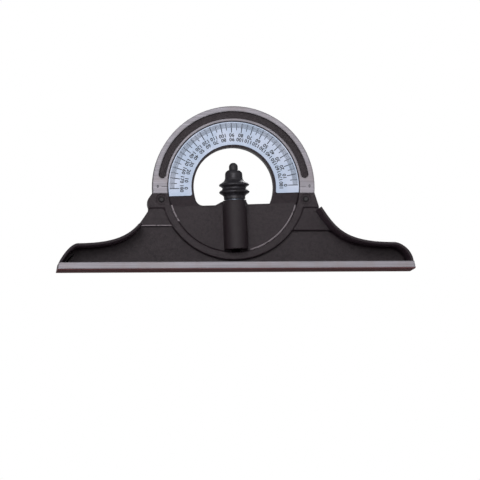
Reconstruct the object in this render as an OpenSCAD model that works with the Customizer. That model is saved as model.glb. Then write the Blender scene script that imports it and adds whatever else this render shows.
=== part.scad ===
// Protractor head for a combination square set.
// +X runs along the base, +Z is up and -Y is the front, where the graduated scale faces.
// The origin is the middle of the base's underside. Units are millimetres.

/* [Base] */
// Length of the ground base
base_len = 152.4; // [140:0.2:165]
// Width of the base from front to back
base_depth = 18; // [16:0.5:24]
// Height of the ground strip along the front of the base
base_h = 3.1; // [2.5:0.1:3.2]

/* [Frame casting] */
// Height of the turret's axis above the underside of the base
axis_h = 36.2; // [36.2:0.1:38]
// Outer radius of the arch
arch_r = 34.8; // [34.5:0.1:36]
// Thickness of the arch and of the ears below it
arch_t = 5.5; // [5.5:0.1:7]
// Thickness of the shelf that follows the top of each wing
shelf_t = 1.3; // [1.1:0.1:2.4]
// Height of the lower edge of the left pad
left_pad_z = 19.6; // [18:0.1:22]
// Height of the lower edge of the right pad
right_pad_z = 17.4; // [16:0.1:22]

/* [Turret] */
// Angle at which the turret is set, anticlockwise from the front
set_angle = 1.6; // [-45:0.1:45]
// Radius of the turret's face
turret_r = 28.1; // [27.9:0.05:28.1]
// Radius of the round window in the turret
window_r = 17.2; // [16.5:0.1:17.6]
// Radius of the upright boss that holds the lock bolt
boss_r = 5.0; // [4.6:0.1:5.4]
// Width of the ruled blade that the turret carries
blade_w = 25.4; // [25.4]
// Thickness of the blade
blade_t = 2.4; // [2.2:0.1:2.5]

/* [Clamps] */
// Angle of each turret clamp above the horizontal
clamp_angle = 40; // [36:1:44]
// Radius of the knurled clamp nuts
clamp_nut_r = 4.3; // [4:0.1:4.6]

/* [Hidden] */
$fn = 96;
eps = 0.02;          // overlap between shapes that are joined into one solid
cut = 1;             // how far a cutting shape runs past the face it opens
run = 0.1;           // radial clearance where one piece turns inside another
slip = 0.05;         // radial clearance round screws, studs and plugs

// Levels along Y, from front to back
front_y = -base_depth / 2;
back_y = base_depth / 2;
arch_y = back_y - arch_t;         // ground face of the arch
ear_y = arch_y + 0.2;             // painted face of the ears and the rim
pad_y = arch_y + 0.9;             // pads below the ears
web_y = arch_y + 2.5;             // recessed web of each wing
shelf_y = front_y + 1.0;          // front edge of the shelves

// Frame casting
bore_r = turret_r + run;
rim_r = 31.3;                     // outside of the rim below the turret
ear_z = axis_h - 2.7;             // where the ground face ends and the ears begin
step_z = 26.6;                    // where the shelves begin, below the ears
ear_low_z = 27.2;                 // lower edge of the ears' raised faces
end_slope = 0.6;                  // lean of the ends of the base strip
edge = 0.35;                      // chamfer on ground edges
groove_r0 = 29.5;                 // inner radius of the painted groove in the arch
groove_r1 = 32.6;                 // outer radius of the groove
groove_deep = 1.1;
groove_end = 10;                  // angle of the groove's ends above the horizontal
groove_end_ease = 0.03;           // the round ends are this much wider than the groove
curve_steps = 18;

// Outlines of the wings in X and Z, the left one mirrored: a hollow sweep, then the nose, as Bezier curves
nose_top = [67.5, 11.3];
nose_end = [base_len / 2 - end_slope, base_h];
wing_sweep = [[36.4, step_z], [42.6, 17.2], [46.4, 11.3], nose_top];
right_nose = [nose_top, [70.8, 11.1], [75.1, 7.7], nose_end];
left_nose = [nose_top, [70.0, 11.1], [73.4, 7.4], nose_end];

// Turret and its retaining ring
turret_y = arch_y + 0.6;          // seat of the scale plate
flange_y = arch_y + 2.5;
flange_r = 29.6;
ring_y = flange_y + 1.5;          // front of the retaining ring
ring_r0 = 25.5;
ring_r1 = 32.9;
hub_r = ring_r0 - run;
hub_y = back_y - 0.1;             // back of the hub under the clamps
channel_y = back_y + 0.2;         // face that the blade lies on
lower_y = arch_y + 1.7;           // recessed face of the lower half
rim_chamfer = 0.5;                // chamfer round the lower half
scale_z = -3.2;                   // lower edge of the scale plate, from the axis
chord_z = -7.5;                   // straight edge below the window
shoulder_z = -6.0;                // shoulder that the blade's edge is drawn against
lip_z = 1.4;                      // how far the lips reach down over the blade
lip_t = 1.5;
guide_top_z = -0.6;
guide_x = 18.8;                   // inner end of each guide
corner_r = 3.6;                   // rounded left corner of the window
plate_r0 = 18.2;
plate_r1 = 28;
plate_corner_r = 0.8;

// Lock bolt, its boss, spring, washer and nut, measured from the turret's axis
bolt_y = arch_y - 1.5;
boss_top_z = -6.1;
boss_end_z = -27.0;
saddle_left = 8.1;                // reach of the platform under the nut, to the left of the axis
saddle_right = 5.9;               // and to the right
shank_r = 2.6;
shank_z0 = -25.5;                 // lower end of the thick shank
shank_z1 = -14;                   // and its upper end
seat_z = -11;                     // step inside the boss that the spring pushes on
thread_r = 1.9;
dome_z = 8.3;                     // where the thread's rounded end begins
hook_z = shoulder_z - blade_w / 2;
hook_h = 3.6;
hook_w = 3.8;
groove_depth = 0.8;               // depth of the blade's groove that the hook enters
spring_wire = 0.5;
spring_turns = 3.5;
spring_steps = 16;
washer_t = 0.5;
washer_r = 3.9;
nut_z = boss_top_z + washer_t;

// Clamps
clamp_r = 23.3;
stud_r = 1.5;
stud_end_y = back_y + 9.4;
shoe_t = 2.2;
shoe_w = 9;
shoe_r0 = 19.4;
shoe_r1 = 31.0;
clamp_washer_t = 0.5;
clamp_nut_y = back_y + shoe_t + clamp_washer_t;
clamp_nut_t = 5.5;

// Screws
ring_screw_r = 31.2;
screw_r = 0.9;
screw_head_r = 1.6;
screw_head_t = 0.8;
head_sink = 0.05;                 // how far the screw heads lie below the back
ring_screw_angles = [50, 130, 235, 305];
ear_screw_r = 1.2;
ear_screw_x = 31.0;
ear_screw_z = axis_h - 5.3;
dimple_r = 2.1;
rivet_r = 0.7;

// Spirit level
level_y = hub_y + 0.25;
level_z = 21.2;
level_plate_t = 1.2;
level_r = 3.0;
level_len = 17;
level_wall = 0.45;
level_axis_y = level_y + level_plate_t + level_r;
level_screw_x = 10.4;
vial_wall = 0.5;
plug_t = 1.0;
bubble_len = 4.5;

// ---- helpers ----

function bezier(p, t) =
    pow(1 - t, 3) * p[0] + 3 * pow(1 - t, 2) * t * p[1]
    + 3 * (1 - t) * t * t * p[2] + pow(t, 3) * p[3];
function bezier_slope(p, t) =
    3 * pow(1 - t, 2) * (p[1] - p[0]) + 6 * (1 - t) * t * (p[2] - p[1]) + 3 * t * t * (p[3] - p[2]);
function curve(p, first = 0) = [for (i = [first : curve_steps]) bezier(p, i / curve_steps)];

// The same curve moved inwards, square to itself
function inner_curve(p, d, first = 0) = [for (i = [first : curve_steps])
    let (t = i / curve_steps, s = bezier_slope(p, t))
    bezier(p, t) + d * [s[1], -s[0]] / norm(s)];

function reversed(list) = [for (i = [len(list) - 1 : -1 : 0]) list[i]];

// A flat outline in X and Z, given thickness from y0 to y1
module slab(y0, y1) {
    translate([0, y1, 0])
        rotate([90, 0, 0])
            linear_extrude(y1 - y0)
                children();
}

// A section drawn as [y, z], drawn out along X from x0 to x1
module bar(points, x0, x1) {
    translate([x0, 0, 0])
        rotate([90, 0, 90])
            linear_extrude(x1 - x0)
                polygon(points);
}

// A round disc whose axis lies along Y
module disc(r, y0, y1) {
    translate([0, y1, 0])
        rotate([90, 0, 0])
            cylinder(r = r, h = y1 - y0);
}

// A cone along Y, r0 at y0 and r1 at y1
module cone(r0, r1, y0, y1) {
    translate([0, y1, 0])
        rotate([90, 0, 0])
            cylinder(r1 = r1, r2 = r0, h = y1 - y0);
}

// Moves a piece that is drawn about the turret's axis into the frame, at the set angle
module on_turret() {
    translate([0, 0, axis_h])
        rotate([0, -set_angle, 0])
            children();
}

// A place on the turret at an angle above the horizontal, with +X pointing outwards
module at_angle(angle) {
    rotate([0, -angle, 0])
        children();
}

module both_sides() {
    children();
    mirror([1, 0, 0])
        children();
}

// ---- frame ----

module wing_outline(nose) {
    polygon(concat(
        [[0, 0], [0, step_z]],
        curve(wing_sweep),
        curve(nose, 1),
        [[nose_end[0], 0]]));
}

module shelf_outline(nose) {
    polygon(concat(
        curve(wing_sweep),
        curve(nose, 1),
        reversed(inner_curve(nose, shelf_t, 1)),
        reversed(inner_curve(wing_sweep, shelf_t))));
}

// One wing's web and the shelf round it, which reaches up to shelf_top
module wing(nose, shelf_top) {
    slab(web_y, back_y)
        wing_outline(nose);
    slab(shelf_y, back_y)
        intersection() {
            shelf_outline(nose);
            square([base_len, shelf_top]);
        }
}

// The left ear is rounded, and the right one is straight
module left_ear() {
    polygon([[-28, step_z - 2 * cut], [-36.6, step_z - 2 * cut], [-36.6, 27.4], [-36.85, 28.2], [-37.0, 29.2],
        [-36.9, 30.4], [-36.5, 31.5], [-35.8, 32.5], [-34.4, ear_z + 0.9], [-28, ear_z + 0.9]]);
}

module right_ear() {
    polygon([[28, step_z - 2 * cut], [36.7, step_z - 2 * cut], [36.6, 27.9], [34.5, ear_z + 0.9],
        [28, ear_z + 0.9]]);
}

module ears() {
    left_ear();
    right_ear();
}

module base_bar() {
    half = base_len / 2;
    intersection() {
        slab(front_y, back_y)
            polygon([[-half, 0], [half, 0], [half - end_slope, base_h], [end_slope - half, base_h]]);
        bar([[front_y + edge, 0], [back_y - edge, 0], [back_y, edge], [back_y, base_h + cut],
            [front_y, base_h + cut], [front_y, edge]], -half, half);
    }
}

module arch() {
    slab(arch_y, back_y)
        translate([0, axis_h])
            difference() {
                circle(arch_r);
                translate([-2 * arch_r, ear_z - axis_h - 4 * arch_r])
                    square(4 * arch_r);
            }
}

// The painted groove follows the arch and has round ends
module groove() {
    mid = (groove_r0 + groove_r1) / 2;
    width = groove_r1 - groove_r0;
    slab(arch_y - cut, arch_y + groove_deep)
        translate([0, axis_h]) {
            difference() {
                circle(groove_r1);
                circle(groove_r0);
                below_groove_ends();
            }
            for (angle = [groove_end, 180 - groove_end])
                rotate(angle)
                    translate([mid, 0])
                        circle(width / 2 + groove_end_ease);
        }
}

// Everything below the groove's two ends
module below_groove_ends() {
    far = 3 * arch_r;
    polygon([[0, 0], far * [cos(groove_end), sin(groove_end)], [far, -far], [-far, -far],
        far * [-cos(groove_end), sin(groove_end)]]);
}

module pad(nose, low_z) {
    slab(pad_y, back_y)
        intersection() {
            wing_outline(nose);
            translate([20, low_z])
                square([40, step_z - low_z]);
        }
}

module ring_screw_places() {
    for (angle = ring_screw_angles)
        translate([ring_screw_r * cos(angle), 0, axis_h + ring_screw_r * sin(angle)])
            children();
}

module ear_screw_places() {
    both_sides()
        translate([ear_screw_x, 0, ear_screw_z])
            children();
}

module frame_casting() {
    color([0.13, 0.12, 0.13])
        difference() {
            union() {
                base_bar();
                arch();
                wing(right_nose, axis_h);
                mirror([1, 0, 0])
                    wing(left_nose, left_pad_z);
                slab(ear_y, back_y)
                    intersection() {
                        ears();
                        translate([-2 * arch_r, ear_low_z])
                            square([4 * arch_r, 20]);
                    }
                slab(pad_y, back_y)
                    ears();
                pad(right_nose, right_pad_z);
                mirror([1, 0, 0])
                    pad(left_nose, left_pad_z);
                translate([0, 0, axis_h])
                    intersection() {
                        disc(rim_r, ear_y, back_y);
                        translate([-40, front_y, -axis_h])
                            cube([80, base_depth, ear_z + 0.5]);
                    }
            }
            translate([0, 0, axis_h]) {
                disc(bore_r, arch_y - cut, back_y + cut);
                cone(bore_r + edge, bore_r, arch_y - eps, arch_y + edge);
                disc(flange_r + run, flange_y, back_y + cut);
                disc(ring_r1 + run, ring_y, back_y + cut);
            }
            groove();
            ring_screw_places()
                disc(screw_r + slip, ring_y - 1.2, back_y);
            ear_screw_places() {
                disc(ear_screw_r + slip, front_y, back_y);
                disc(dimple_r, front_y, ear_y + 0.3);
            }
        }
}

module retaining_ring() {
    color([0.55, 0.55, 0.56])
        difference() {
            translate([0, 0, axis_h])
                disc(ring_r1, ring_y, back_y);
            translate([0, 0, axis_h])
                disc(ring_r0, ring_y - cut, back_y + cut);
            ring_screw_places()
                screw_hole(screw_r);
            ear_screw_places()
                screw_hole(ear_screw_r);
        }
}

module screw_hole(r) {
    disc(r + slip, ring_y - cut, back_y + cut);
    cone(r + slip, screw_head_r + slip, back_y - screw_head_t, back_y + eps);
}

// A countersunk screw that ends at y0, with its slot across the head
module countersunk_screw(r, y0) {
    difference() {
        union() {
            disc(r, y0, back_y - screw_head_t + eps);
            cone(r, screw_head_r - head_sink * (screw_head_r - r) / screw_head_t,
                back_y - screw_head_t, back_y - head_sink);
        }
        translate([-0.2, back_y - 0.4, -3])
            cube([0.4, cut, 6]);
    }
}

module retaining_ring_screws() {
    color([0.5, 0.5, 0.52])
        ring_screw_places()
            countersunk_screw(screw_r, ring_y - 1);
}

// These two run right through the ears and end in a small dome at the front
module ear_screws() {
    color([0.4, 0.4, 0.41])
        ear_screw_places() {
            countersunk_screw(ear_screw_r, ear_y);
            cone(0.6 * ear_screw_r, ear_screw_r, ear_y - 0.4, ear_y);
        }
}

// ---- turret ----

// Metal left in the window's lower left corner, which is rounded
module window_corner() {
    corner_z = chord_z + corner_r;
    corner_x = -sqrt(pow(window_r - corner_r, 2) - corner_z * corner_z);
    reach = 1.2 * window_r / (window_r - corner_r);
    difference() {
        polygon([[corner_x, corner_z], reach * [corner_x, corner_z], [-1.2 * window_r, chord_z - cut],
            [corner_x, chord_z - cut]]);
        translate([corner_x, corner_z])
            circle(corner_r + eps);
    }
}

// The window: a round opening, cut straight along the bottom
module window_outline() {
    difference() {
        circle(window_r);
        window_corner();
        translate([-2 * window_r, chord_z - 4 * window_r])
            square(4 * window_r);
        polygon([[-saddle_left, chord_z - eps], [-boss_r - 0.2, boss_top_z],
            [boss_r + 0.2, boss_top_z], [saddle_right, chord_z - eps]]);
    }
}

// Two shoulders with lips, one at each side of the window, which guide the blade's upper edge
module guides() {
    lip_y = channel_y + blade_t + lip_t;
    intersection() {
        both_sides()
            bar([[hub_y - cut, shoulder_z], [hub_y - cut, guide_top_z], [lip_y, guide_top_z],
                [lip_y, shoulder_z - lip_z], [channel_y + blade_t + run, shoulder_z - lip_z],
                [channel_y + blade_t + run, shoulder_z]], guide_x, 2 * guide_x);
        disc(hub_r, hub_y - cut, lip_y);
    }
}

module turret_casting() {
    color([0.13, 0.12, 0.13])
        on_turret()
            difference() {
                union() {
                    difference() {
                        union() {
                            disc(turret_r, lower_y + rim_chamfer, flange_y + eps);
                            cone(turret_r - rim_chamfer, turret_r, lower_y, lower_y + rim_chamfer + eps);
                            intersection() {
                                disc(turret_r, turret_y, lower_y + cut);
                                translate([-40, 0, chord_z])
                                    cube(80);
                            }
                            disc(flange_r, flange_y, ring_y - run);
                            disc(hub_r, ring_y - cut, hub_y);
                            guides();
                            level_seat();
                        }
                        bar([[front_y, scale_z], [turret_y, scale_z], [lower_y, chord_z],
                            [lower_y, -40], [front_y, -40]], -40, 40);
                        slab(front_y, back_y + 10)
                            window_outline();
                    }
                    difference() {
                        disc(hub_r, hub_y - cut, channel_y);
                        translate([-40, 0, shoulder_z])
                            cube([80, 40, 40]);
                        slab(front_y, back_y + 10)
                            window_outline();
                    }
                    translate([0, bolt_y, boss_end_z])
                        cylinder(r = boss_r, h = boss_top_z - boss_end_z);
                    translate([-boss_r, bolt_y, boss_end_z])
                        cube([2 * boss_r, flange_y - bolt_y, boss_top_z - boss_end_z]);
                }
                translate([0, bolt_y, boss_end_z - cut])
                    cylinder(r = shank_r + slip, h = seat_z - boss_end_z + cut);
                translate([0, bolt_y, seat_z - cut])
                    cylinder(r = thread_r + run, h = 20);
                translate([-hook_w / 2 - run, bolt_y, -40])
                    cube([hook_w + 2 * run, 20, 40 + shank_z1 - 1]);
                for (angle = [clamp_angle, 180 - clamp_angle])
                    at_angle(angle)
                        translate([clamp_r, 0, 0])
                            disc(stud_r, turret_y + 1, back_y + cut);
                level_screw_places()
                    disc(screw_r + slip, turret_y + 1, level_y + cut);
                rivet_places()
                    disc(rivet_r, 0, back_y);
            }
}

module rivet_places() {
    for (angle = [12, 78, 102, 168])
        at_angle(angle)
            translate([23, 0, 0])
                children();
}

// A half ring whose two inner corners are rounded off
module scale_plate_outline() {
    corner_z = scale_z + plate_corner_r;
    corner_x = sqrt(pow(plate_r0 + plate_corner_r, 2) - corner_z * corner_z);
    difference() {
        circle(plate_r1);
        circle(plate_r0);
        translate([-2 * plate_r1, scale_z - 4 * plate_r1])
            square(4 * plate_r1);
        for (side = [-1, 1])
            mirror([side < 0 ? 1 : 0, 0])
                difference() {
                    polygon([[0, scale_z - eps], [corner_x, scale_z - eps], [corner_x, corner_z],
                        [corner_x * plate_r0 / (plate_r0 + plate_corner_r),
                            corner_z * plate_r0 / (plate_r0 + plate_corner_r)], [0, corner_z]]);
                    translate([corner_x, corner_z])
                        circle(plate_corner_r);
                }
    }
}

module scale_plate() {
    color([0.74, 0.78, 0.84])
        on_turret()
            slab(arch_y, turret_y)
                scale_plate_outline();
}

// Fixed to the back of the plate and closed over behind the turret
module scale_plate_rivets() {
    color([0.6, 0.6, 0.62])
        on_turret()
            rivet_places()
                disc(rivet_r, turret_y, hub_y - 0.1);
}

// ---- spirit level on the back of the turret ----

module level_seat() {
    intersection() {
        translate([-12, hub_y - cut, level_z - 3])
            cube([24, level_y - hub_y + cut, 6]);
        disc(hub_r, 0, 20);
    }
}

module level_screw_places() {
    both_sides()
        translate([level_screw_x, 0, level_z])
            children();
}

// A bar of round section lying along X in the level
module level_round(r, half) {
    translate([-half, level_axis_y, level_z])
        rotate([0, 90, 0])
            cylinder(r = r, h = 2 * half);
}

module level_saddle() {
    color([0.16, 0.15, 0.16])
        on_turret()
            difference() {
                union() {
                    translate([-12.2, level_y, level_z - 3])
                        cube([24.4, level_plate_t, 6]);
                    both_sides()
                        translate([4.6, level_y, level_z - 3])
                            cube([2.6, level_plate_t + level_r * 0.9, 6]);
                }
                level_round(level_r + eps, 20);
                level_screw_places()
                    disc(screw_r + slip, 0, 30);
            }
}

module level_tube() {
    color([0.78, 0.66, 0.38])
        on_turret()
            difference() {
                level_round(level_r, level_len / 2);
                level_round(level_r - level_wall, level_len);
                translate([-5, level_axis_y - 2, level_z + 1.2])
                    cube([10, 4, 10]);
            }
}

module level_vial() {
    outer = level_r - level_wall - slip;
    half = level_len / 2 - plug_t - slip;
    color([0.85, 0.9, 0.85, 0.4])
        on_turret()
            difference() {
                level_round(outer, half);
                level_round(outer - vial_wall, half - 1);
            }
}

module level_liquid() {
    r = level_r - level_wall - slip - vial_wall - eps;
    color([0.7, 0.85, 0.2, 0.7])
        on_turret()
            difference() {
                level_round(r, level_len / 2 - plug_t - slip - 1);
                translate([0, level_axis_y, level_z + r])
                    scale([2, 1, 1])
                        sphere(r = bubble_len / 4, $fn = 32);
            }
}

module level_end_plugs() {
    color([0.78, 0.66, 0.38])
        on_turret()
            both_sides()
                translate([level_len / 2 - plug_t, level_axis_y, level_z])
                    rotate([0, 90, 0])
                        cylinder(r = level_r - level_wall, h = plug_t);
}

module level_screws() {
    head_y = level_y + level_plate_t;
    color([0.6, 0.6, 0.62])
        on_turret()
            level_screw_places()
                difference() {
                    union() {
                        disc(screw_r, turret_y + 1.5, head_y + eps);
                        disc(1.4, head_y, head_y + 0.9);
                    }
                    translate([-3, head_y + 0.5, -0.2])
                        cube([6, cut, 0.4]);
                }
}

// ---- lock bolt, spring, washer and nut ----

// The rounded end of the thread, up to a small flat
dome_arc = [for (angle = [0 : 10 : 70]) [thread_r * cos(angle), dome_z + thread_r * sin(angle)]];

module lock_bolt() {
    color([0.3, 0.3, 0.31])
        on_turret()
            difference() {
                translate([0, bolt_y, 0]) {
                    translate([0, 0, shank_z0])
                        cylinder(r = shank_r, h = shank_z1 - shank_z0);
                    rotate_extrude()
                        polygon(concat([[0, shank_z1 - eps], [thread_r, shank_z1 - eps]], dome_arc,
                            [[0, dome_z + thread_r * sin(70)]]));
                    translate([-hook_w / 2, 0, hook_z - hook_h / 2])
                        cube([hook_w, channel_y + groove_depth - bolt_y, hook_h]);
                }
                // The hook's upper side slopes, so that it draws the blade in as it rises
                bar([[channel_y - 0.2, hook_z + hook_h / 2 + eps], [channel_y + 2, hook_z + hook_h / 2 + eps],
                    [channel_y + 2, hook_z + hook_h / 2 - 1.6]], -5, 5);
            }
}

// One closed coil, swept as rings of points about a helix
module lock_bolt_spring() {
    r = (shank_r + thread_r) / 2;
    rise = seat_z - shank_z1 - spring_wire - 2 * slip;
    steps = ceil(spring_turns * spring_steps);
    sides = 8;
    rings = [for (i = [0 : steps])
        let (t = i / steps, a = 360 * spring_turns * t)
        [for (k = [0 : sides - 1])
            let (b = 360 * k / sides, out = r + spring_wire / 2 * cos(b))
            [out * cos(a), out * sin(a), rise * t + spring_wire / 2 * sin(b)]]];
    points = [for (ring = rings) for (p = ring) p];
    side_faces = [for (i = [0 : steps - 1]) for (k = [0 : sides - 1])
        let (next = (k + 1) % sides, low = i * sides, high = low + sides)
        [low + k, high + k, high + next, low + next]];
    first_end = [for (k = [0 : sides - 1]) k];
    last_end = [for (k = [sides - 1 : -1 : 0]) steps * sides + k];
    color([0.5, 0.5, 0.52])
        on_turret()
            translate([0, bolt_y, shank_z1 + spring_wire / 2 + slip])
                polyhedron(points, concat([first_end], side_faces, [last_end]));
}

module lock_washer() {
    color([0.7, 0.71, 0.72])
        on_turret()
            translate([0, bolt_y, boss_top_z])
                difference() {
                    cylinder(r = washer_r, h = washer_t);
                    translate([0, 0, -cut])
                        cylinder(r = thread_r + run, h = 5);
                }
}

// Section of the lock nut as [radius, height above its seat]
nut_section = [[thread_r + slip, 0], [4.5, 0], [4.6, 0.3], [4.6, 1.3], [5.1, 1.9], [6.2, 2.6], [6.5, 3.0],
    [6.5, 3.3], [6.1, 3.75], [5.3, 4.2], [5.1, 4.6], [5.1, 5.0], [5.5, 5.4], [6.3, 5.85], [6.45, 6.1],
    [6.45, 6.35], [6.1, 6.75], [5.3, 7.2], [4.5, 7.75], [4.0, 8.4], [3.75, 9.3], [3.7, 11.0], [3.5, 11.6],
    [3.0, 12.2], [2.3, 12.6], [thread_r + slip, 12.6]];

module lock_nut() {
    color([0.2, 0.2, 0.21])
        on_turret()
            translate([0, bolt_y, nut_z])
                rotate_extrude()
                    polygon(nut_section);
}

// ---- turret clamps ----

module clamp_place(side) {
    on_turret()
        at_angle(side > 0 ? clamp_angle : 180 - clamp_angle)
            children();
}

module clamp_stud(side) {
    color([0.55, 0.55, 0.57])
        clamp_place(side)
            translate([clamp_r, 0, 0]) {
                disc(stud_r, turret_y + 1, stud_end_y - 0.4);
                cone(stud_r, stud_r - 0.4, stud_end_y - 0.4 - eps, stud_end_y);
            }
}

// A flat clamp with a round toe, which bridges the hub and the retaining ring
module clamp_shoe(side) {
    color([0.24, 0.24, 0.25])
        clamp_place(side)
            difference() {
                slab(back_y, back_y + shoe_t)
                    intersection() {
                        translate([shoe_r0, -shoe_w / 2])
                            square([shoe_r1 - shoe_r0, shoe_w]);
                        circle(shoe_r1);
                    }
                translate([clamp_r, 0, 0])
                    disc(stud_r + run, 0, back_y + 10);
            }
}

module clamp_washer(side) {
    color([0.6, 0.6, 0.62])
        clamp_place(side)
            translate([clamp_r, 0, 0])
                difference() {
                    disc(3.5, back_y + shoe_t, clamp_nut_y);
                    disc(stud_r + run, 0, back_y + 10);
                }
}

module clamp_nut(side) {
    end_y = clamp_nut_y + clamp_nut_t;
    color([0.22, 0.22, 0.23])
        clamp_place(side)
            translate([clamp_r, 0, 0])
                difference() {
                    union() {
                        disc(3.3, clamp_nut_y, end_y);
                        disc(clamp_nut_r, clamp_nut_y + 1, end_y - 0.4);
                    }
                    disc(stud_r + slip, 0, end_y + cut);
                }
}

frame_casting();
retaining_ring();
retaining_ring_screws();
ear_screws();
turret_casting();
scale_plate();
scale_plate_rivets();
level_saddle();
level_tube();
level_vial();
level_liquid();
level_end_plugs();
level_screws();
lock_bolt();
lock_bolt_spring();
lock_washer();
lock_nut();
clamp_stud(-1);  // clamp_stud_left
clamp_stud(1);  // clamp_stud_right
clamp_shoe(-1);  // clamp_shoe_left
clamp_shoe(1);  // clamp_shoe_right
clamp_washer(-1);  // clamp_washer_left
clamp_washer(1);  // clamp_washer_right
clamp_nut(-1);  // clamp_nut_left
clamp_nut(1);  // clamp_nut_right
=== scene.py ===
import math

import bmesh
import bpy
from mathutils import Matrix, Vector


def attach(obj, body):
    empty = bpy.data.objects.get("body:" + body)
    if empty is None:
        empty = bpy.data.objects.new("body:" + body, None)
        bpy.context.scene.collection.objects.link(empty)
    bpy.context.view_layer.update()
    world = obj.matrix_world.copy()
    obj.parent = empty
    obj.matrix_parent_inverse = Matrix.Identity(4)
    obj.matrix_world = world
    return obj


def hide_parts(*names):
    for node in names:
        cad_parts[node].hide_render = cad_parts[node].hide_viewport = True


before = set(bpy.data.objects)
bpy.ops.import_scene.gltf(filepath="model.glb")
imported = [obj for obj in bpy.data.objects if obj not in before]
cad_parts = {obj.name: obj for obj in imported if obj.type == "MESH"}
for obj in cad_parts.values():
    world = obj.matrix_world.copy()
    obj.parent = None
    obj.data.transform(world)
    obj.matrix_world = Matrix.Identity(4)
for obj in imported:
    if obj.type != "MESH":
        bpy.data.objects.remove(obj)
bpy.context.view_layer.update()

MM = 0.001

# Sizes shared with the frame, in millimetres
ARCH_Y = 3.5            # ground face of the arch
PLATE_Y = 3.5           # face of the scale plate, flush with the arch
PLATE_R = 28.0          # outside of the scale plate
BACK_Y = 9.0            # back of the casting and of the retaining ring
AXIS_Z = 36.2           # height of the turret's axis
EAR_Z = 33.5            # the arch's ground face ends here
BORE_R = 28.2           # bore that the turret turns in
BASE_FRONT_Y = -9.0     # front of the ground strip
BASE_TOP_Z = 3.1        # top of the ground strip
SET_ANGLE = 1.6         # the turret is set this many degrees anticlockwise
SHELF_Y = -8.0          # front edge of the shelves
WEB_Y = 6.0             # recessed web of each wing
EAR_Y = 3.7             # painted face of the ears and the rim
PAD_Y = 4.4             # pads below the ears
LEFT_PAD_Z = 19.6       # lower edges of the pads
RIGHT_PAD_Z = 17.4
RIM_R = 31.3            # outside of the rim below the turret
CHAMFER_R = 27.3        # inside of the chamfer round the turret's lower half
CHAMFER_FRONT_Y = 4.9   # the chamfer lies between these two
CHAMFER_BACK_Y = 5.65


# ---------- shader writing ----------

class Value:
    """A shader socket that takes part in Python arithmetic."""

    def __init__(self, finish, socket):
        self.finish = finish
        self.socket = socket

    def maths(self, operation, *others):
        return self.finish.node("ShaderNodeMath", {"operation": operation}, [self, *others])

    def __add__(self, other):
        return self.maths("ADD", other)

    __radd__ = __add__

    def __mul__(self, other):
        return self.maths("MULTIPLY", other)

    __rmul__ = __mul__

    def __sub__(self, other):
        return self.maths("SUBTRACT", other)

    def __rsub__(self, other):
        return (self * -1) + other

    def __truediv__(self, other):
        return self.maths("DIVIDE", other)

    def __lt__(self, other):
        return self.maths("LESS_THAN", other)

    def __gt__(self, other):
        return self.maths("GREATER_THAN", other)

    def __abs__(self):
        return self.maths("ABSOLUTE")

    def most(self, other):
        return self.maths("MAXIMUM", other)

    def root(self):
        return self.maths("SQRT")


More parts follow.
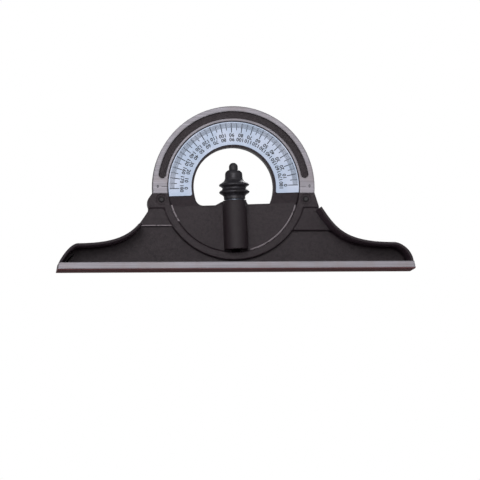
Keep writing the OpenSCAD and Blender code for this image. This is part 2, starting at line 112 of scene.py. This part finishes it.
class Finish:
    """One material, written as expressions on the place of each point, in millimetres."""

    def __init__(self, name):
        self.material = bpy.data.materials.new(name)
        self.material.use_nodes = True
        self.tree = self.material.node_tree
        self.tree.nodes.clear()
        place = self.node("ShaderNodeTexCoord", {}, {}, "Object")
        self.place = self.node("ShaderNodeVectorMath", {"operation": "SCALE"}, {0: place, "Scale": 1000.0})
        self.x, self.y, self.z = self.parts(self.place)

    def node(self, kind, settings, sockets, output=0):
        node = self.tree.nodes.new(kind)
        for key, setting in settings.items():
            if key == "stops":
                ramp = node.color_ramp
                while len(ramp.elements) < len(setting):
                    ramp.elements.new(0.5)
                for element, (position, colour) in zip(ramp.elements, setting):
                    element.position = position
                    element.color = colour
            else:
                setattr(node, key, setting)
        pairs = enumerate(sockets) if isinstance(sockets, list) else sockets.items()
        for key, value in pairs:
            if isinstance(value, Value):
                self.tree.links.new(value.socket, node.inputs[key])
            else:
                node.inputs[key].default_value = value
        if output is None:
            return node
        return Value(self, node.outputs[output])

    def parts(self, vector):
        node = self.node("ShaderNodeSeparateXYZ", {}, [vector], None)
        return [Value(self, node.outputs[axis]) for axis in "XYZ"]

    def stretched(self, sx, sy, sz):
        """The place, scaled differently along each axis, for a grain with a direction."""
        return self.node("ShaderNodeMapping", {}, {"Vector": self.place, "Scale": (sx, sy, sz)})

    def noise(self, vector, scale, detail=3.0, roughness=0.55, distortion=0.0):
        return self.node("ShaderNodeTexNoise", {}, {
            "Vector": vector, "Scale": scale, "Detail": detail,
            "Roughness": roughness, "Distortion": distortion}, "Fac")

    def cells(self, vector, scale, smooth=0.6):
        return self.node("ShaderNodeTexVoronoi", {"feature": "SMOOTH_F1"}, {
            "Vector": vector, "Scale": scale, "Smoothness": smooth}, "Distance")

    def ramp(self, value, stops):
        """A smooth change between stops, each a place from 0 to 1 and a grey or a colour."""
        full = []
        for place, tone in stops:
            colour = tone if isinstance(tone, tuple) else (tone, tone, tone)
            full.append((place, (*colour, 1.0)))
        return self.node("ShaderNodeValToRGB", {"stops": full}, [value])

    def grey(self, colour):
        return self.node("ShaderNodeRGBToBW", {}, [colour])

    def fade(self, value, start, end):
        """0 before start, 1 after end, and smooth between them."""
        return self.node("ShaderNodeMapRange", {"interpolation_type": "SMOOTHSTEP"}, {
            "Value": value, "From Min": start, "From Max": end, "To Min": 0.0, "To Max": 1.0})

    def mix(self, amount, first, second):
        return self.node("ShaderNodeMix", {"data_type": "RGBA"}, {
            0: amount, 6: first if isinstance(first, Value) else (*first, 1.0),
            7: second if isinstance(second, Value) else (*second, 1.0)}, 2)

    def from_axis(self):
        """Distance from the turret's axis."""
        up = self.z - AXIS_Z
        return (self.x * self.x + up * up).root()

    def rounded(self, radius_mm):
        return self.node("ShaderNodeBevel", {"samples": 4}, {"Radius": radius_mm * MM}, "Normal")

    def bump(self, height, depth_mm, normal=None):
        sockets = {"Height": height, "Strength": 1.0, "Distance": depth_mm * MM}
        if normal is not None:
            sockets["Normal"] = normal
        return self.node("ShaderNodeBump", {}, sockets)

    def surface(self, **sockets):
        """The shader itself. Names are those of its sockets, with _ for each space."""
        names = {key.replace("_", " "): value for key, value in sockets.items()}
        for key in ("Base Color", "Emission Color"):
            if isinstance(names.get(key), tuple):
                names[key] = (*names[key], 1.0)
        shader = self.node("ShaderNodeBsdfPrincipled", {}, names, "BSDF")
        self.node("ShaderNodeOutputMaterial", {}, {"Surface": shader}, None)
        return self.material


# ---------- finishes ----------

def wrinkle(finish):
    """Height of black wrinkle enamel: short crinkled ridges between fine cells."""
    drift = finish.noise(finish.place, 1.3, 2.0)
    crinkle = finish.noise(finish.place, 2.1, 4.0, 0.6, 1.6)
    ridges = 1 - abs(crinkle * 2 - 1) * 2.4
    pits = finish.cells(finish.place, 2.6, 0.4)
    return ridges * 0.6 + pits * 0.5 + drift * 0.4


def grinding(finish, along):
    """Fine lines left by a grinding wheel, long in the direction along."""
    fine = {"x": (0.05, 9, 9), "y": (9, 0.05, 9), "z": (9, 9, 0.05)}[along]
    coarse = {"x": (0.02, 2.4, 2.4), "y": (2.4, 0.02, 2.4), "z": (2.4, 2.4, 0.02)}[along]
    lines = finish.noise(finish.stretched(*fine), 1.0, 3.0)
    bands = finish.noise(finish.stretched(*coarse), 1.0, 2.0)
    return lines * 0.65 + bands * 0.35


# Colours of the castings, dark to light
# The valley and crest colours paint shade into the wrinkles' hollows and painted light onto their ridges.
ENAMEL_VALLEY_PAINTED_SHADE = (0.0085, 0.0048, 0.0068)
ENAMEL_CREST_PAINTED_LIGHT = (0.026, 0.0165, 0.0215)
ENAMEL_STAIN = (0.022, 0.0135, 0.018)
ENAMEL_MOTTLE = (0.0095, 0.0048, 0.0085)
# Painted shade: a darker enamel for the shelves' front lips.
ENAMEL_LIP_PAINTED_SHADE = (0.015, 0.0085, 0.0125)
IRON_DARK = (0.2, 0.19, 0.21)
IRON_LIGHT = (0.28, 0.265, 0.295)
IRON_STAIN = (0.22, 0.19, 0.195)
IRON_SPECK = (0.17, 0.15, 0.15)
IRON_SCRAPED = (0.42, 0.37, 0.4)
# Painted shade: a darker, dark red iron for the underside.
IRON_UNDERSIDE_PAINTED_SHADE = (0.3, 0.13, 0.14)


def enamel(finish, crinkles, stain, front_paint_and_painted_fill):
    """Colour of the wrinkle enamel: stained and mottled, with painted shade in the wrinkles' valleys and
    painted light on their crests, the front colour before the ears (on the frame a painted fill light on the
    shaded walls and undersides of the shelves), and painted shade on the shelves' lips.
    """
    # Painted shade in the wrinkles' valleys and painted light on their crests, following the bump's height.
    paint = finish.mix(finish.fade(crinkles, 0.35, 1.0), ENAMEL_VALLEY_PAINTED_SHADE, ENAMEL_CREST_PAINTED_LIGHT)
    paint = finish.mix(stain * 0.35, paint, ENAMEL_STAIN)
    mottle = finish.noise(finish.place, 0.75, 3.0, 0.65)
    paint = finish.mix(finish.fade(mottle, 0.45, 0.65) * 0.55, paint, ENAMEL_MOTTLE)
    # Before the ears the front colour takes over; on the frame this is a painted fill light on the shaded
    # shelf walls and undersides.
    paint = finish.mix(finish.fade(EAR_Y - 0.3 - finish.y, 0.0, 1.0) * 0.8, paint, front_paint_and_painted_fill)
    # Painted shade on the shelves' front lips.
    return finish.mix(finish.fade(SHELF_Y + 0.6 - finish.y, 0.0, 0.2), paint, ENAMEL_LIP_PAINTED_SHADE)


def ground_iron(finish, lines, stain):
    """Colour of the ground iron: grinding lines, stains and specks."""
    specks = finish.fade(finish.noise(finish.place, 0.9, 3.0, 0.7), 0.62, 0.72)
    iron = finish.mix(finish.fade(lines, 0.3, 0.7), IRON_DARK, IRON_LIGHT)
    iron = finish.mix(finish.fade(stain, 0.42, 0.7) * 0.5, iron, IRON_STAIN)
    return finish.mix(specks * 0.35, iron, IRON_SPECK)


def casting_finish(name, ground, worn, front_paint_and_painted_fill):
    """Wrinkle enamel everywhere except where ground gives 1, and rubbed thin where worn gives 1.

    The front colour is the enamel's colour towards the front; on the frame it is a painted fill light on the
    shaded walls and undersides of the shelves. The underside is darkened and tinted dark red as painted
    shade."""
    finish = Finish(name)
    bare = ground(finish)
    rubbed = worn(finish)
    crinkles = wrinkle(finish)
    lines = grinding(finish, "x")
    stain = finish.noise(finish.place, 0.12, 4.0, 0.6)
    paint = enamel(finish, crinkles, stain, front_paint_and_painted_fill)
    iron = ground_iron(finish, lines, stain)
    scraped = rubbed * finish.fade(finish.noise(finish.place, 0.8, 4.0, 0.7), 0.3, 0.5)
    colour = finish.mix(scraped, finish.mix(bare, paint, iron), IRON_SCRAPED)
    shine = bare.most(scraped * 0.3)
    # Painted shade: the underside is darkened and tinted dark red.
    underside_shade = finish.fade(0.3 - finish.z, -0.1, 0.1)
    colour = finish.mix(underside_shade, colour, IRON_UNDERSIDE_PAINTED_SHADE)
    dull = finish.mix(shine, finish.ramp(crinkles, [(0.2, 0.62), (0.9, 0.44)]),
                      finish.ramp(lines, [(0.3, 0.6), (0.7, 0.5)]))
    height = crinkles * (1 - shine) + lines * shine * 0.05
    return finish.surface(
        Base_Color=colour,
        Metallic=shine,
        Specular_IOR_Level=0.35,
        Roughness=finish.grey(dull),
        Normal=finish.bump(height, 0.09, finish.rounded(0.8)))


def frame_ground(finish):
    """The arch's front and bore, the strip along the base, its underside and the bands on the back."""
    arch_face = (finish.y < ARCH_Y + 0.06).most(finish.from_axis() < BORE_R + 0.15)
    arch_face = arch_face * (finish.z > EAR_Z - 0.05)
    strip = (finish.z < BASE_TOP_Z + 0.05) * (finish.y < BASE_FRONT_Y + 0.45)
    underside = finish.z < 0.4
    arch_back = (finish.y > BACK_Y - 0.06) * (finish.from_axis() > RIM_R + 0.2) * (finish.z > AXIS_Z - 6)
    base_back = (finish.y > BACK_Y - 0.4) * (finish.z < BASE_TOP_Z + 1)
    return arch_face.most(strip).most(underside).most(arch_back).most(base_back)


def frame_worn(finish):
    """Enamel is rubbed off the lower edge of the left pad."""
    low_edge = 1 - finish.fade(abs(finish.z - LEFT_PAD_Z - 0.1), 0.25, 0.4)
    return low_edge * (finish.x < 0) * (finish.y > PAD_Y - 0.3) * (finish.y < PAD_Y + 1.0)


def turret_ground(finish):
    """The seat on the back, and the turned edge of the upper half."""
    seat = (finish.y > BACK_Y + 0.1) * (finish.y < BACK_Y + 0.35) * (finish.z < AXIS_Z - 4)
    return seat.most((finish.from_axis() > PLATE_R - 0.1) * (finish.z > AXIS_Z - 2))


def turret_worn(finish):
    """Bare metal on the chamfer round the lower half: a long bow on the right and a short one on the left."""
    radius = finish.from_axis()
    down = AXIS_Z - finish.z
    chamfer = finish.fade(radius, CHAMFER_R, CHAMFER_R + 0.2)
    chamfer = chamfer * (finish.y > CHAMFER_FRONT_Y) * (finish.y < CHAMFER_BACK_Y)
    right = finish.fade(finish.x, 5.0, 9.0) * (down > 7.6)
    left = (finish.x < -20) * (down > 7.6) * (down < 14.5)
    return chamfer * right.most(left)


def nowhere(finish):
    """No part of the level's saddle is ground or worn, as all of it lies behind this place."""
    return finish.y < BASE_FRONT_Y


def steel_finish(name, colour, rough, painted_shade_front=-100.0):
    """Turned steel, with near-black painted shade in front of the given place."""
    finish = Finish(name)
    lines = grinding(finish, "x")
    smudge = finish.noise(finish.place, 0.5, 4.0, 0.65)
    dark = tuple(c * 0.62 for c in colour)
    light = tuple(min(1.0, c * 1.18) for c in colour)
    tone = finish.mix(finish.fade(lines, 0.3, 0.7), dark, light)
    tone = finish.mix(finish.fade(smudge, 0.45, 0.75) * 0.4, tone, dark)
    # Painted shade: near black in front of the given place.
    tone = finish.mix(finish.y < painted_shade_front, tone, (0.004, 0.003, 0.004))
    return finish.surface(
        Base_Color=tone,
        Metallic=1.0,
        Roughness=smudge * 0.25 + rough,
        Normal=finish.bump(lines, 0.004, finish.rounded(0.12)))


def black_oxide_finish(name, dark, light, metal, rough):
    finish = Finish(name)
    smudge = finish.noise(finish.place, 0.55, 4.0, 0.65)
    fine = finish.noise(finish.stretched(4, 4, 22), 1.0, 2.0)
    tone = finish.mix(finish.fade(smudge, 0.35, 0.7), dark, light)
    return finish.surface(
        Base_Color=tone,
        Metallic=metal,
        Roughness=smudge * 0.2 + rough,
        Normal=finish.bump(fine * 0.6 + smudge * 0.4, 0.01, finish.rounded(0.12)))


def satin_scale_finish(name):
    finish = Finish(name)
    grain = finish.noise(finish.place, 14.0, 3.0, 0.6)
    cloud = finish.noise(finish.place, 0.1, 3.0, 0.5)
    tone = finish.mix(finish.fade(cloud, 0.35, 0.7), (0.4, 0.47, 0.6), (0.52, 0.56, 0.68))
    tone = finish.mix(finish.fade(grain, 0.3, 0.75) * 0.3, tone, (0.33, 0.39, 0.5))
    return finish.surface(
        Base_Color=tone,
        Metallic=0.35,
        Roughness=grain * 0.2 + 0.45,
        Normal=finish.bump(grain, 0.004))


def ink_finish(name):
    finish = Finish(name)
    blot = finish.noise(finish.place, 6.0, 2.0)
    tone = finish.mix(finish.fade(blot, 0.3, 0.7), (0.004, 0.005, 0.009), (0.012, 0.014, 0.022))
    return finish.surface(Base_Color=tone, Roughness=blot * 0.2 + 0.45, Normal=finish.bump(blot, 0.003))


def brass_finish(name):
    finish = Finish(name)
    lines = grinding(finish, "x")
    age = finish.noise(finish.place, 0.7, 4.0, 0.6)
    tone = finish.mix(finish.fade(age, 0.4, 0.7), (0.62, 0.44, 0.17), (0.38, 0.25, 0.1))
    return finish.surface(
        Base_Color=tone, Metallic=1.0, Roughness=age * 0.3 + 0.22,
        Normal=finish.bump(lines, 0.004, finish.rounded(0.1)))


def clear_finish(name, colour, alpha, rough):
    finish = Finish(name)
    streak = finish.noise(finish.place, 0.8, 2.0)
    return finish.surface(
        Base_Color=finish.mix(streak * 0.3, colour, tuple(c * 0.8 for c in colour)),
        Roughness=streak * 0.04 + rough, Alpha=alpha, IOR=1.47, Coat_Weight=0.3)


# Painted fill light: a lighter enamel for the frame's shelf walls and undersides, which lie in shade.
SHELF_PAINTED_FILL_LIGHT = (0.065, 0.04, 0.056)
BOSS_ENAMEL = (0.013, 0.0075, 0.0105)
FRAME_CASTING = casting_finish("frame wrinkle enamel and ground iron", frame_ground, frame_worn, SHELF_PAINTED_FILL_LIGHT)
TURRET_CASTING = casting_finish("turret wrinkle enamel", turret_ground, turret_worn, BOSS_ENAMEL)
LEVEL_CASTING = casting_finish("level saddle enamel", nowhere, nowhere, BOSS_ENAMEL)
BRIGHT_STEEL = steel_finish("bright turned steel", (0.5, 0.5, 0.52), 0.22)
# The ring's front face, seen through the turret's bolt slot, is painted near black as painted shade.
RING_STEEL_PAINTED_SHADE = steel_finish("bright steel ring, front in painted shade", (0.5, 0.5, 0.52), 0.22, 8.0)
DULL_STEEL = steel_finish("dull steel", (0.17, 0.19, 0.23), 0.32)
BLACK_OXIDE = black_oxide_finish("black oxide steel", (0.014, 0.012, 0.015), (0.034, 0.032, 0.04), 0.4, 0.36)
DARK_BOLT = black_oxide_finish("dull black steel", (0.008, 0.006, 0.008), (0.022, 0.019, 0.022), 0.1, 0.5)
SATIN_SCALE = satin_scale_finish("satin scale")
INK = ink_finish("scale ink")
BRASS = brass_finish("level brass")
VIAL_GLASS = clear_finish("vial glass", (0.9, 0.96, 0.92), 0.22, 0.03)
LEVEL_LIQUID = clear_finish("level liquid", (0.6, 0.85, 0.1), 0.75, 0.05)


# ---------- modelling helpers ----------

def only(piece):
    bpy.ops.object.select_all(action="DESELECT")
    piece.select_set(True)
    bpy.context.view_layer.objects.active = piece


def settle(piece):
    """Puts the piece's place, turn and size into its mesh."""
    piece.data.transform(piece.matrix_world)
    piece.matrix_world = Matrix.Identity(4)


def joined(pieces):
    only(pieces[0])
    for piece in pieces[1:]:
        piece.select_set(True)
    bpy.ops.object.join()
    return bpy.context.object


def finished(piece, name, material, body, stands_for=()):
    piece.name = name
    piece.data.name = name
    piece.data.materials.clear()
    piece.data.materials.append(material)
    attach(piece, body)
    if stands_for:
        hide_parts(*stands_for)
    return piece


def soft_copy(node, name, widest, width_of):
    """A merged copy of a casting with edges rounded off and corners filled, as sand casting leaves them.

    width_of gives the width of the rounding in millimetres for an edge's middle and whether it is convex."""
    piece = bpy.data.objects.new(name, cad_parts[node].data.copy())
    bpy.context.scene.collection.objects.link(piece)
    only(piece)
    bpy.ops.object.mode_set(mode="EDIT")
    bpy.ops.mesh.select_all(action="SELECT")
    bpy.ops.mesh.remove_doubles(threshold=0.002 * MM)
    bpy.ops.mesh.dissolve_limited(angle_limit=math.radians(1))
    shape = bmesh.from_edit_mesh(piece.data)
    weight = shape.edges.layers.float.new("bevel_weight_edge")
    for edge in shape.edges:
        if edge.calc_face_angle(0) > math.radians(25):
            ends = [corner.co / MM for corner in edge.verts]
            width = width_of((ends[0] + ends[1]) / 2, edge.is_convex)
            edge[weight] = width / widest
    bmesh.update_edit_mesh(piece.data)
    bpy.ops.object.mode_set(mode="OBJECT")
    rounding = piece.modifiers.new("rounding", "BEVEL")
    rounding.width = widest * MM
    rounding.segments = 3
    rounding.limit_method = "WEIGHT"
    rounding.use_clamp_overlap = False
    bpy.ops.object.modifier_apply(modifier="rounding")
    bpy.ops.object.shade_smooth_by_angle(angle=math.radians(34))
    facing = piece.modifiers.new("facing", "WEIGHTED_NORMAL")
    facing.keep_sharp = True
    bpy.ops.object.modifier_apply(modifier="facing")
    return piece


def turn_to_setting(piece):
    """Turns a piece drawn at zero about the turret's axis to the angle at which the turret is set."""
    axis = Vector((0, 0, AXIS_Z * MM))
    turn = Matrix.Rotation(math.radians(-SET_ANGLE), 4, "Y")
    piece.data.transform(Matrix.Translation(axis) @ turn @ Matrix.Translation(-axis))


def on_face(radius, angle, y):
    """A place on the front, at an angle above the horizontal, turret at zero."""
    a = math.radians(angle)
    return Vector((radius * math.cos(a), y, AXIS_Z + radius * math.sin(a))) * MM


# ---------- graduations ----------

TICK_START = 0.4        # from the plate's edge to the lines
TICK_SIZES = {1: (2.2, 0.2), 5: (3.2, 0.3), 10: (4.2, 0.34)}  # length and width by the step in degrees
INK_THICKNESS = 0.02
INK_EASE = 0.005        # bevel round each line
OUTER_ROW_R = 22.4
INNER_ROW_R = 20.5
FIGURE_HEIGHT = 1.55
INDEX_R = 29.6          # middle of each index line
INDEX_SIZE = (2.8, 0.2)
NOUGHT_R = 32.6         # noughts beside the index lines
NOUGHT_HEIGHT = 1.2


def ink_line(place, length, width):
    """A thin line along X, with its edges eased."""
    bpy.ops.object.select_all(action="DESELECT")
    bpy.ops.mesh.primitive_cube_add(
        size=1, location=place, scale=(length * MM, INK_THICKNESS * MM, width * MM))
    bpy.ops.object.mode_set(mode="EDIT")
    bpy.ops.mesh.select_all(action="SELECT")
    bpy.ops.mesh.bevel(offset=INK_EASE * MM, segments=1, affect="EDGES")
    bpy.ops.mesh.select_all(action="SELECT")
    bpy.ops.object.mode_set(mode="OBJECT")
    return bpy.context.object


def tick_marks():
    """One line at zero for each length and width, spun round the plate as copies."""
    marks = []
    for step, (length, width) in TICK_SIZES.items():
        mark = ink_line(on_face(PLATE_R - TICK_START - length / 2, 0, PLATE_Y), length, width)
        bpy.ops.object.mode_set(mode="EDIT")
        bpy.ops.mesh.select_all(action="SELECT")
        bpy.ops.mesh.spin(steps=180 // step, dupli=True, angle=math.pi, use_auto_merge=False,
                          center=(0, 0, AXIS_Z * MM), axis=(0, 1, 0))
        bpy.ops.object.mode_set(mode="OBJECT")
        marks.append(mark)
    return joined(marks)


def numeral(text, height, radius, angle, y, upright=False):
    """A figure laid on the front with its top towards the axis, or away from it if upright."""
    bpy.ops.object.select_all(action="DESELECT")
    bpy.ops.object.text_add(location=(0, 0, 0))
    figure = bpy.context.object
    figure.data.body = text
    figure.data.align_x = "CENTER"
    figure.data.align_y = "CENTER"
    figure.data.size = height * 1.38 * MM
    figure.data.space_character = 1.04
    figure.data.extrude = INK_THICKNESS * MM / 2
    figure.data.offset = 0.07 * MM
    figure.data.resolution_u = 3
    bpy.ops.object.convert(target="MESH")
    figure = bpy.context.object
    stand = Matrix.Rotation(math.radians(90), 4, "X")
    lean = angle - 90 if upright else angle + 90
    turn = Matrix.Rotation(math.radians(-lean), 4, "Y")
    figure.data.transform(Matrix.Translation(on_face(radius, angle, y)) @ turn @ stand)
    return figure


def scale_figures():
    figures = []
    for tens in range(19):
        angle = tens * 10
        figures.append(numeral(str(angle), FIGURE_HEIGHT, OUTER_ROW_R, angle, PLATE_Y))
        figures.append(numeral(str(180 - angle), FIGURE_HEIGHT, INNER_ROW_R, angle, PLATE_Y))
    return joined(figures)


def index_marks():
    """A line and a nought at each end of the arch."""
    marks = []
    for side in (1, -1):
        mark = ink_line(Vector((side * INDEX_R, ARCH_Y, AXIS_Z + 0.2)) * MM, *INDEX_SIZE)
        settle(mark)
        marks.append(mark)
        angle = 0.4 if side > 0 else 179.6
        nought = numeral("0", NOUGHT_HEIGHT, NOUGHT_R, angle, ARCH_Y, upright=True)
        spot = on_face(NOUGHT_R, angle, ARCH_Y)
        straight = Matrix.Rotation(math.radians(90 * -side), 4, "Y")
        nought.data.transform(Matrix.Translation(spot) @ straight @ Matrix.Translation(-spot))
        marks.append(nought)
    return joined(marks)


ticks = tick_marks()
settle(ticks)
turn_to_setting(ticks)
finished(ticks, "scale_graduations", INK, "turret")

figures = scale_figures()
settle(figures)
turn_to_setting(figures)
finished(figures, "scale_figures", INK, "turret")

index = index_marks()
settle(index)
finished(index, "index_marks", INK, "frame")


# ---------- castings ----------

WIDEST_ROUNDING = 1.2


def near(value, target, reach=0.05):
    return abs(value - target) < reach


def frame_edge(middle, convex):
    """Widths of the roundings on the frame's casting."""
    radius = math.hypot(middle.x, middle.z - AXIS_Z)
    if radius < RIM_R - 1.3:
        return 0
    if convex:
        if near(middle.y, SHELF_Y):
            return 0.55
        if near(middle.y, EAR_Y) and middle.z < EAR_Z - 0.2:
            return 0.45
        if near(middle.y, PAD_Y) and middle.z > BASE_TOP_Z + 1:
            return 0.5
        return 0
    if near(middle.y, WEB_Y):
        at_strip = middle.z < BASE_TOP_Z + 0.1
        at_rim = radius < RIM_R + 0.5
        at_pads = middle.z > min(LEFT_PAD_Z, RIGHT_PAD_Z) - 0.1
        return 0 if at_strip or at_rim or at_pads else WIDEST_ROUNDING
    return 0


frame_body = soft_copy("frame_casting", "frame_body", WIDEST_ROUNDING, frame_edge)
finished(frame_body, "frame_body", FRAME_CASTING, "frame", ["frame_casting"])


# ---------- finishes of the carried nodes ----------

CARRIED = {
    "turret_casting": TURRET_CASTING,
    "retaining_ring": RING_STEEL_PAINTED_SHADE,
    "retaining_ring_screws": BRIGHT_STEEL,
    "ear_screws": DARK_BOLT,
    "scale_plate": SATIN_SCALE,
    "scale_plate_rivets": BRIGHT_STEEL,
    "level_saddle": LEVEL_CASTING,
    "level_tube": BRASS,
    "level_vial": VIAL_GLASS,
    "level_liquid": LEVEL_LIQUID,
    "level_end_plugs": BRASS,
    "level_screws": BRIGHT_STEEL,
    "lock_bolt": DARK_BOLT,
    "lock_bolt_spring": DULL_STEEL,
    "lock_washer": DULL_STEEL,
    "lock_nut": BLACK_OXIDE,
    "clamp_stud_left": BRIGHT_STEEL,
    "clamp_stud_right": BRIGHT_STEEL,
    "clamp_shoe_left": BLACK_OXIDE,
    "clamp_shoe_right": BLACK_OXIDE,
    "clamp_washer_left": BRIGHT_STEEL,
    "clamp_washer_right": BRIGHT_STEEL,
    "clamp_nut_left": BLACK_OXIDE,
    "clamp_nut_right": BLACK_OXIDE,
}
for name, material in CARRIED.items():
    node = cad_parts[name]
    node.data.materials.clear()
    node.data.materials.append(material)


# ---------- stage ----------

FLOOR_CLEARNESS = 0.25  # share of the light from below that passes the floor
FLOOR_Z = -0.05         # just under the base, in millimetres
WORLD_BELOW = 0.42      # strength of the studio's light from below
WORLD_ABOVE = 0.5       # and from above


def floor_finish():
    """Pale plaster that is seen and lit from above, and lets the view and the light through from below."""
    finish = Finish("pale floor")
    grain = finish.noise(finish.place, 0.05, 3.0)
    tone = finish.mix(grain, (0.78, 0.78, 0.79), (0.84, 0.84, 0.85))
    plaster = finish.node("ShaderNodeBsdfDiffuse", {}, {"Color": tone})
    clear = finish.node("ShaderNodeBsdfTransparent", {}, {"Color": (1, 1, 1, 1)})
    below = finish.node("ShaderNodeNewGeometry", {}, {}, "Backfacing")
    through = below.most(FLOOR_CLEARNESS)
    seen = finish.node("ShaderNodeMixShader", {}, [through, plaster, clear])
    finish.node("ShaderNodeOutputMaterial", {}, {"Surface": seen}, None)
    return finish.material


def studio():
    """White to the eye; as light, bright overhead and dim below."""
    world = bpy.data.worlds.new("studio")
    bpy.context.scene.world = world
    world.use_nodes = True
    tree = world.node_tree
    tree.nodes.clear()

    def node(kind, sockets, **settings):
        made = tree.nodes.new(kind)
        for key, setting in settings.items():
            setattr(made, key, setting)
        for key, value in sockets.items():
            if isinstance(value, bpy.types.NodeSocket):
                tree.links.new(value, made.inputs[key])
            else:
                made.inputs[key].default_value = value
        return made

    place = node("ShaderNodeTexCoord", {})
    height = node("ShaderNodeSeparateXYZ", {"Vector": place.outputs["Generated"]})
    glow = node("ShaderNodeMapRange", {
        "Value": height.outputs["Z"], "From Min": -0.25, "From Max": 0.6,
        "To Min": WORLD_BELOW, "To Max": WORLD_ABOVE}, interpolation_type="SMOOTHSTEP")
    light = node("ShaderNodeBackground", {"Color": (1, 1, 1, 1), "Strength": glow.outputs[0]})
    backdrop = node("ShaderNodeBackground", {"Color": (1, 1, 1, 1), "Strength": 1.0})
    eye = node("ShaderNodeLightPath", {})
    both = node("ShaderNodeMixShader", {
        0: eye.outputs["Is Camera Ray"], 1: light.outputs[0], 2: backdrop.outputs[0]})
    node("ShaderNodeOutputWorld", {"Surface": both.outputs[0]})


def soft_box(name, place, size, power):
    """A square lamp that faces the middle of the object."""
    light = bpy.data.lights.new(name, "AREA")
    light.size = size
    light.energy = power
    lamp = bpy.data.objects.new(name, light)
    bpy.context.scene.collection.objects.link(lamp)
    lamp.location = place
    middle = Vector((0, 0, 0.03))
    lamp.rotation_euler = (middle - Vector(place)).to_track_quat("-Z", "Y").to_euler()


def stage():
    bpy.ops.object.select_all(action="DESELECT")
    bpy.ops.mesh.primitive_plane_add(size=6, location=(0, 0, FLOOR_Z * MM))
    floor = bpy.context.object
    floor.name = "floor"
    floor.data.materials.append(floor_finish())
    studio()
    soft_box("front key", (-0.3, -1.7, 0.42), 0.8, 17)
    soft_box("back fill", (0.5, 1.5, 0.9), 0.9, 14)


def camera():
    """The eye stands a little to the left of the front and a little below the base."""
    azimuth = math.radians(-5.33)
    elevation = math.radians(-5.09)
    roll = math.radians(-0.7)
    distance = 1.5
    aim = Vector((2.06, 0, 13.03)) * MM
    away = Vector((math.sin(azimuth) * math.cos(elevation), -math.cos(azimuth) * math.cos(elevation),
                   math.sin(elevation)))
    right = (-away).cross(Vector((0, 0, 1))).normalized()
    up = right.cross(-away)
    across = right * math.cos(roll) + up * math.sin(roll)
    upward = up * math.cos(roll) - right * math.sin(roll)
    lens = bpy.data.cameras.new("camera")
    lens.sensor_width = 36
    lens.lens = 263.85
    lens.clip_start = 0.01
    lens.clip_end = 50
    eye = bpy.data.objects.new("camera", lens)
    bpy.context.scene.collection.objects.link(eye)
    turn = Matrix((across, upward, away)).transposed().to_4x4()
    eye.matrix_world = Matrix.Translation(aim + away * distance) @ turn
    bpy.context.scene.camera = eye


stage()
camera()
bpy.context.scene.view_settings.view_transform = "Standard"
